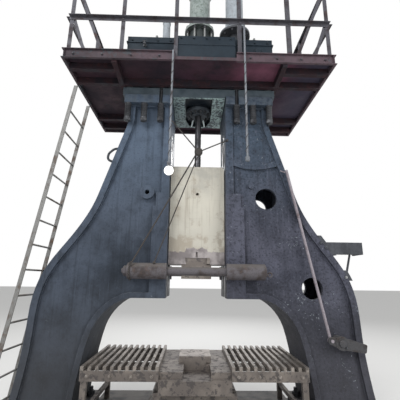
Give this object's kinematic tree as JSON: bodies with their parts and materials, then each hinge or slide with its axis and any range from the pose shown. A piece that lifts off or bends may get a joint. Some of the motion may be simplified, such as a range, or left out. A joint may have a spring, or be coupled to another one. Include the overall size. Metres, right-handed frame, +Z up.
{
  "type": "steam hammer",
  "caption": "Arch type double frame forging hammer: ram on V guides, dies and anvil, cylinder and oil tank on a railed platform with a ladder.",
  "frame": {"origin": "on the ram axis at floor level, under the middle of the anvil", "axes": "+Z up along the ram axis, +X towards the right frame seen from the front, +Y to the rear"},
  "size_m": [4.5651, 2.1223, 6.329],
  "materials": {
    "bed_plate": "sooty cast plate",
    "anvil_packing": "oily timber",
    "left_frame": "sooty cast, rough",
    "right_frame": "sooty cast, rough",
    "left_guide": "worn slide face",
    "right_guide": "worn slide face",
    "front_stretcher": "sooty forged steel",
    "rear_stretcher": "sooty forged steel",
    "cylinder_base": "chipped grey green paint",
    "gland": "dark oily casting",
    "left_holding_bolts": "oily steel",
    "right_holding_bolts": "oily steel",
    "cylinder": "silver green paint",
    "cylinder_head": "silver green paint",
    "cylinder_studs": "plain steel",
    "oil_tank": "slate paint under soot",
    "accumulator": "silver paint",
    "filter_canister": "dull cast aluminium",
    "platform_deck": "red oxide under soot",
    "platform_joists": "sooty red oxide",
    "platform_edge": "red oxide, chipped",
    "front_railing": "rusted angle iron",
    "left_railing": "rusted angle iron",
    "right_railing": "rusted angle iron",
    "rear_railing": "rusted angle iron",
    "ladder": "worn grey steel",
    "left_lamp_pole": "sooty conduit",
    "lamp_bulb": "frosted white",
    "right_lamp_pole": "sooty conduit",
    "anvil": "scaled forged block",
    "anvil_cap": "scaled forged block",
    "lower_die": "heat-scaled steel",
    "lower_die_key": "driven steel key",
    "left_work_table": "scaled steel",
    "left_table_bars": "worn steel bars",
    "right_work_table": "scaled steel",
    "right_table_bars": "worn steel bars",
    "side_arm": "sooty steel",
    "side_arm_brace": "sooty steel",
    "lever_bracket": "sooty casting",
    "ram": "cream scale and grease",
    "upper_die": "heat-scaled steel",
    "upper_die_key": "driven steel key",
    "piston_rod": "oiled dark steel",
    "piston": "machined iron",
    "control_lever": "sooty steel",
    "control_rod": "rusty steel rod",
    "hauling_rope": "sooty hemp rope"
  },
  "bodies": {
    "hammer": {"bed_plate": "bed_plate", "anvil_packing": "anvil_packing", "left_frame": "left_frame", "right_frame": "right_frame", "left_guide": "left_guide", "right_guide": "right_guide", "front_stretcher": "front_stretcher", "rear_stretcher": "rear_stretcher", "cylinder_base": "cylinder_base", "gland": "gland", "left_holding_bolts": "left_holding_bolts", "right_holding_bolts": "right_holding_bolts", "cylinder": "cylinder", "cylinder_head": "cylinder_head", "cylinder_studs": "cylinder_studs", "oil_tank": "oil_tank", "accumulator": "accumulator", "filter_canister": "filter_canister", "platform_deck": "platform_deck", "platform_joists": "platform_joists", "platform_edge": "platform_edge", "front_railing": "front_railing", "left_railing": "left_railing", "right_railing": "right_railing", "rear_railing": "rear_railing", "ladder": "ladder", "left_lamp_pole": "left_lamp_pole", "lamp_bulb": "lamp_bulb", "right_lamp_pole": "right_lamp_pole", "anvil": "anvil", "anvil_cap": "anvil_cap", "lower_die": "lower_die", "lower_die_key": "lower_die_key", "left_work_table": "left_work_table", "left_table_bars": "left_table_bars", "right_work_table": "right_work_table", "right_table_bars": "right_table_bars", "side_arm": "side_arm", "side_arm_brace": "side_arm_brace", "lever_bracket": "lever_bracket", "hauling_rope": "hauling_rope"},
    "ram_assembly": {"ram": "ram", "upper_die": "upper_die", "upper_die_key": "upper_die_key", "piston_rod": "piston_rod", "piston": "piston"},
    "lever": {"control_lever": "control_lever"},
    "rod": {"control_rod": "control_rod"}
  },
  "joints": [
    {"name": "ram_slide", "type": "slide", "parent": "hammer", "child": "ram_assembly", "axis": [0, 0, 1], "range_m": [-0.89, 0.44]},
    {"name": "lever_swing", "type": "hinge", "parent": "hammer", "child": "lever", "pos_m": [1.68, -0.446, 0.96], "axis": [0, 1, 0], "range_deg": [-14, 14]},
    {"name": "rod_pin", "type": "hinge", "parent": "lever", "child": "rod", "pos_m": [1.5675, -0.446, 0.9839], "axis": [0, 1, 0], "range_deg": [-14, 14]}
  ],
  "couplings": [
    {"joint": "rod_pin", "follows": "lever_swing", "ratio": -1}
  ]
}
